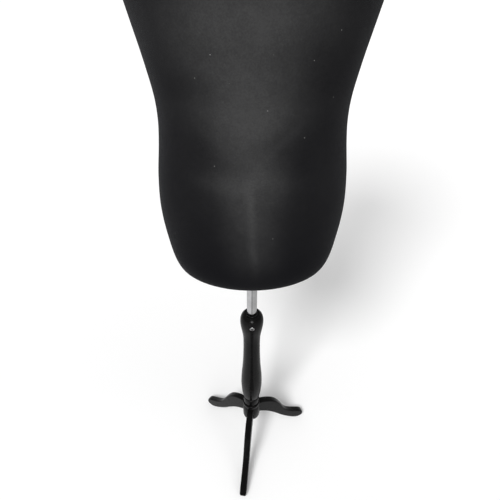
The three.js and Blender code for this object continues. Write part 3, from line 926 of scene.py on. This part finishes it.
def lacquer_material():
    """Black gloss lacquer over turned wood: grain telegraphing through, orange peel, fine dust."""
    s = Shader("black_lacquer", Coat_Weight=0.08, Coat_Roughness=0.06, Specular_IOR_Level=0.1)
    grain = s.noise(1.6, (1, 1, 14), detail=5, roughness=0.6, distortion=0.4)
    peel = s.noise(2.2, detail=1)
    dust = s.noise(0.35)
    smudge = s.noise(22, detail=3)
    colour = s.grade(grain, 0.4, 0.65, (0.0018, 0.0018, 0.002), (0.0045, 0.0042, 0.004))
    colour = s.blend(s.remap(dust, 0.66, 0.78, 0, 0.6), colour, (0.06, 0.058, 0.055))
    rough = s.plus(s.remap(smudge, 0.35, 0.65, 0.16, 0.3), s.remap(dust, 0.6, 0.8, 0, 0.15))
    height = s.plus(s.times(grain, 0.6), s.times(peel, 0.5))
    return s.finish(colour, rough, height, 0.05)


def chrome_material():
    """Polished chrome with fine lengthwise and crosswise scratches from sliding."""
    s = Shader("chrome_plate", Metallic=1.0)
    long_marks = s.noise(0.35, (1, 1, 60))
    cross_marks = s.noise(0.3, (9, 9, 1))
    haze = s.noise(14, detail=3)
    colour = s.grade(haze, 0.35, 0.65, (0.6, 0.6, 0.6), (0.7, 0.7, 0.7))
    marks = s.math("MAXIMUM", s.remap(long_marks, 0.6, 0.75, 0, 1), s.remap(cross_marks, 0.66, 0.8, 0, 1))
    rough = s.plus(s.remap(haze, 0.35, 0.65, 0.03, 0.06), s.times(marks, 0.1))
    return s.finish(colour, rough, marks, -0.01)


def zinc_material():
    """Zinc-plated steel: brushed along its length, mottled by the plating."""
    s = Shader("zinc_plate", Metallic=1.0)
    brush = s.noise(0.25, (1, 1, 12))
    mottle = s.noise(3.5, detail=4, roughness=0.7)
    colour = s.grade(mottle, 0.35, 0.65, (0.33, 0.34, 0.35), (0.5, 0.5, 0.51))
    rough = s.plus(s.remap(brush, 0.3, 0.7, 0.28, 0.44), s.remap(mottle, 0.3, 0.7, 0, 0.08))
    return s.finish(colour, rough, brush, 0.015)


def powder_coat_material():
    """Black powder coat with its pebbled skin, rubbed a little."""
    s = Shader("black_powder_coat", Specular_IOR_Level=0.5)
    pebble = s.noise(0.7)
    rub = s.noise(8, detail=5, roughness=0.7)
    colour = s.grade(rub, 0.5, 0.72, (0.012, 0.012, 0.012), (0.045, 0.045, 0.046))
    rough = s.remap(rub, 0.35, 0.7, 0.52, 0.36)
    return s.finish(colour, rough, pebble, 0.08)


def brass_material():
    """Machined brass with turning rings, dulled in patches."""
    s = Shader("machined_brass", Metallic=1.0)
    rings = s.noise(1, (10, 0.25, 10))
    patina = s.noise(4, detail=4)
    colour = s.grade(patina, 0.35, 0.7, (0.5, 0.33, 0.1), (0.28, 0.17, 0.06))
    rough = s.remap(patina, 0.3, 0.7, 0.25, 0.45)
    return s.finish(colour, rough, rings, 0.03)


def plastic_material():
    """Moulded black plastic: fine spark texture, scuffed brighter in places."""
    s = Shader("black_moulding", Specular_IOR_Level=0.45)
    texture = s.noise(0.4)
    scuff = s.noise(5, detail=5, roughness=0.7)
    colour = s.grade(scuff, 0.5, 0.75, (0.011, 0.011, 0.0115), (0.035, 0.035, 0.036))
    rough = s.remap(scuff, 0.3, 0.7, 0.36, 0.55)
    return s.finish(colour, rough, texture, 0.04)


def shell_material():
    """The shell's moulded fibre plastic, matt and slightly flecked."""
    s = Shader("shell_moulding", Specular_IOR_Level=0.35)
    fleck = s.noise(1.2, detail=4, roughness=0.7)
    flow = s.noise(25, (1, 1, 3), detail=3)
    colour = s.grade(fleck, 0.4, 0.65, (0.03, 0.027, 0.024), (0.07, 0.062, 0.054))
    rough = s.remap(flow, 0.3, 0.7, 0.6, 0.8)
    return s.finish(colour, rough, fleck, 0.1)


def raw_wood_material():
    """Unfinished beech: rays and pores along the grain."""
    s = Shader("raw_beech", Specular_IOR_Level=0.3)
    rings = s.noise(3.5, (1, 1, 9), detail=4, distortion=0.8)
    pores = s.noise(0.5, (1, 1, 7))
    colour = s.grade(rings, 0.35, 0.65, (0.46, 0.28, 0.14), (0.3, 0.16, 0.07))
    colour = s.blend(s.remap(pores, 0.62, 0.72, 0, 0.7), colour, (0.13, 0.07, 0.03))
    rough = s.remap(rings, 0.3, 0.7, 0.65, 0.82)
    return s.finish(colour, rough, pores, -0.08)


def fibreboard_material():
    """Sawn fibreboard stained black-brown, with loose fibres."""
    s = Shader("fibreboard", Specular_IOR_Level=0.25)
    fibres = s.noise(1.1, (4, 1, 1), detail=5, roughness=0.7, distortion=1.0)
    stain = s.noise(30, detail=4)
    colour = s.grade(fibres, 0.35, 0.68, (0.035, 0.024, 0.014), (0.11, 0.075, 0.045))
    colour = s.blend(s.remap(stain, 0.4, 0.7, 0, 0.6), colour, (0.022, 0.016, 0.011))
    rough = s.remap(fibres, 0.3, 0.7, 0.7, 0.9)
    return s.finish(colour, rough, fibres, 0.15)


def floor_material():
    """Plain pale paper. Gloss sees a painted reflection of it instead: dimmer, darker towards the left
    side (+X) as painted shade, with a dark figure painted in front of the form. It throws little light
    back on to cloth. It glows a little where the key lamp reaches it at a slant, so that it stays evenly
    pale."""
    s = Shader("pale_floor", Roughness=0.9, Specular_IOR_Level=0.0, Emission_Color=(1, 1, 1, 1))
    seen = s.node("LightPath", "Is Camera Ray")
    spot = s.node("NewGeometry", "Position")
    away = s.node("VectorMath", "Value", {0: spot, 1: key_lamp_place()}, operation="DISTANCE")
    straight = Vector((KEY_REACH, KEY_HEIGHT)).length
    lost = s.math("SUBTRACT", 1.0, s.math("DIVIDE", straight, away))
    glow = s.times(s.math("MAXIMUM", lost, 0.0), s.times(seen, KEY_SHARE))
    tooth = s.noise(1.5)
    pale = s.grade(tooth, 0.3, 0.7, (0.95, 0.95, 0.95), (0.98, 0.98, 0.98))
    x, y, _ = s.split(spot)
    off_middle = s.math("ABSOLUTE", s.math("SUBTRACT", x, axis.x))
    in_front = s.remap(y, axis.y - 0.1, axis.y - 0.2, 0, 1)
    # painted reflection: a dark figure standing in front of the form, put on the floor for gloss only
    painted_dark_figure = s.times(s.remap(off_middle, 0.07, 0.12, 0.75, 0), in_front)
    # painted shade in the reflection, darker towards the left side (+X)
    sides = s.grade(x, -0.4, 0.4, (0.66, 0.66, 0.67), (0.5, 0.5, 0.5))
    painted_reflection = s.blend(painted_dark_figure, sides, (0.02, 0.02, 0.02))
    bounced = s.blend(s.node("LightPath", "Is Glossy Ray"), (0.07, 0.07, 0.07), painted_reflection)
    return s.drive(Base_Color=s.blend(seen, bounced, pale), Emission_Strength=glow)


# ---- stage

CAMERA_LENS = 25.48
CAMERA_DISTANCE = 0.6218  # in front of the pole axis
CAMERA_ASIDE = 0.019  # to the right side (-X) of it
CAMERA_HEIGHT = 1.2475
CAMERA_DOWN, CAMERA_TURN, CAMERA_ROLL = 36.14, 1.31, 0.04  # degrees


def photo_camera():
    down, turn, roll = (math.radians(a) for a in (CAMERA_DOWN, CAMERA_TURN, CAMERA_ROLL))
    data = bpy.data.cameras.new("camera")
    data.lens = CAMERA_LENS
    data.clip_start = 0.01
    camera = in_scene("camera", data)
    aim = Matrix.Rotation(-turn, 4, "Z") @ Matrix.Rotation(math.pi / 2 - down, 4, "X")
    place = Matrix.Translation((axis.x - CAMERA_ASIDE, axis.y - CAMERA_DISTANCE, CAMERA_HEIGHT))
    camera.matrix_world = place @ aim @ Matrix.Rotation(roll, 4, "Z")
    bpy.context.scene.camera = camera


FLOOR_REACH, FLOOR_GAP = 300, 0.0004


def pale_floor():
    bm = bmesh.new()
    bmesh.ops.create_grid(bm, x_segments=8, y_segments=8, size=FLOOR_REACH)
    mesh = bpy.data.meshes.new("floor")
    bm.to_mesh(mesh)
    bm.free()
    floor = in_scene("floor", mesh)
    floor.location.z = cad_low.z - FLOOR_GAP
    floor.data.materials.append(floor_material())


KEY_ASIDE = 27.7  # degrees from straight in front, towards the right side (-X)
KEY_REACH, KEY_HEIGHT = 1.88, 2.66
KEY_SHARE = 0.54  # of the light on the floor


def key_lamp_place():
    aside = math.radians(KEY_ASIDE)
    return Vector((axis.x - KEY_REACH * math.sin(aside), axis.y - KEY_REACH * math.cos(aside), KEY_HEIGHT))


def key_lamp(radius, power):
    """A round softbox whose light does not fade with distance."""
    data = bpy.data.lights.new("key_lamp", "POINT")
    data.shadow_soft_size = radius
    data.use_soft_falloff = False
    data.energy = power
    data.use_nodes = True
    falloff = data.node_tree.nodes.new("ShaderNodeLightFalloff")
    falloff.inputs["Strength"].default_value = 1
    emission = data.node_tree.nodes["Emission"]
    data.node_tree.links.new(falloff.outputs["Constant"], emission.inputs["Strength"])
    lamp = in_scene("key_lamp", data)
    lamp.location = key_lamp_place()
    lamp.visible_glossy = False


def far_lamp(name, aside, above, spread, strength):
    """A lamp as wide and even as a large softbox far off. aside is its angle from straight in
    front towards the right side (-X), above its angle over the floor, spread its width."""
    data = bpy.data.lights.new(name, "SUN")
    data.angle = math.radians(spread)
    data.energy = strength
    lamp = in_scene(name, data)
    turn = Matrix.Rotation(math.radians(-aside), 4, "Z")
    lamp.matrix_world = turn @ Matrix.Rotation(math.radians(90 - above), 4, "X")
    lamp.visible_glossy = False
    return lamp


def shine_on(lamp, *unlit):
    """Keeps a lamp's light off the floor and off the pieces whose names start as given."""
    group = bpy.data.collections.new("lit_by_" + lamp.name)
    for obj in bpy.data.objects:
        if obj.type == "MESH" and not obj.name.startswith(("floor", *unlit)):
            group.objects.link(obj)
    lamp.light_linking.receiver_collection = group


def studio():
    """A key lamp on the right side in front, a wide fill over the camera and a dim surround. The
    lamps low in front and behind light the form but not the floor."""
    key_lamp(0.43, 30)
    far_lamp("fill_lamp", 0, 50, 80, 1.13)
    front = far_lamp("front_lamp", 0, 12, 24, 1.2)
    front.visible_glossy = True
    shine_on(front, "leg")
    for side, aside in (("left", -125), ("right", 125)):
        shine_on(far_lamp("back_lamp_" + side, aside, 10, 40, 2.6))
    world = bpy.data.worlds.new("studio")
    world.use_nodes = True
    tree = world.node_tree
    path = tree.nodes.new("ShaderNodeLightPath")
    strength = tree.nodes.new("ShaderNodeMapRange")
    strength.inputs["To Min"].default_value = 0.27
    tree.links.new(path.outputs["Is Camera Ray"], strength.inputs["Value"])
    background = tree.nodes["Background"]
    background.inputs["Color"].default_value = (0.985, 0.985, 0.985, 1)
    tree.links.new(strength.outputs["Result"], background.inputs["Strength"])
    bpy.context.scene.world = world
    bpy.context.scene.view_settings.view_transform = "Standard"


# ---- assembly

def wear(obj, material):
    """Gives an object one material, in its own slots."""
    if not obj.material_slots:
        obj.data.materials.append(material)
    for slot in obj.material_slots:
        slot.material = material


def extra(piece, body, material):
    """A piece of trim that no CAD node stands for."""
    wear(piece, material)
    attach(piece, body)
    return piece


def stand_for(piece, node, body, material):
    """A piece that takes a CAD node's place."""
    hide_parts(node)
    return extra(piece, body, material)


def make_torso(jersey, plastic, zinc, powder):
    cloth = stand_for(jersey_fabric(), "jersey_cover", "torso", jersey)
    piping = [
        extra(armhole_piping(side, "armhole_piping_" + name), "torso", jersey)
        for side, name in ((1, "left"), (-1, "right"))
    ]
    hem = extra(hem_band(), "torso", jersey)
    extra(hem_staples(), "torso", zinc)
    stand_for(socket_flange(), "socket_flange", "torso", powder)
    for name in FLANGE_SCREWS:
        stand_for(flange_screw(name), name, "torso", zinc)
    knob, shank = thumb_screw()
    stand_for(knob, "socket_thumb_screw", "thumb_screw", plastic)
    extra(shank, "thumb_screw", zinc)


def make_stand(lacquer, plastic, chrome, zinc):
    stand_for(pole(), "pole_tube", "pole", chrome)
    stand_for(column(), "column", "stand", lacquer)
    stand_for(column_bush(), "column_bush", "stand", plastic)
    stand_for(clamp_screw(), "clamp_screw", "clamp_screw", chrome)
    stand_for(hub(), "hub", "stand", lacquer)
    for piece, node in ((tie_rod(), "tie_rod"), (tie_washer(), "tie_washer"), (tie_nut(), "tie_nut")):
        stand_for(piece, node, "stand", zinc)
    for name in LEG_TURNS:
        stand_for(leg(name), f"leg_{name}", "stand", lacquer)
        stand_for(foot_glide(name), f"foot_glide_{name}", "stand", plastic)


def finish_cad_nodes(materials):
    """Materials for the CAD nodes that stay as they are."""
    for material, names in materials.items():
        for name in names:
            wear(nodes[name], material)


def build():
    lacquer = lacquer_material()
    plastic = plastic_material()
    chrome = chrome_material()
    zinc = zinc_material()
    photo_camera()
    pale_floor()
    make_torso(jersey_material(), plastic, zinc, powder_coat_material())
    stand_for(neck_cap(), "neck_cap", "torso", lacquer)
    make_stand(lacquer, plastic, chrome, zinc)
    finish_cad_nodes({
        shell_material(): ["torso_shell_front", "torso_shell_back", "arm_cap_left", "arm_cap_right"],
        raw_wood_material(): ["neck_block"] + [f"leg_dowel_{name}_{level}" for name, level in DOWELS],
        zinc: ["neck_dowel_screw"],
        fibreboard_material(): ["base_board"],
        plastic: ["pole_top_plug", "pole_foot_plug"],
        brass_material(): ["column_insert"],
    })
    studio()


build()
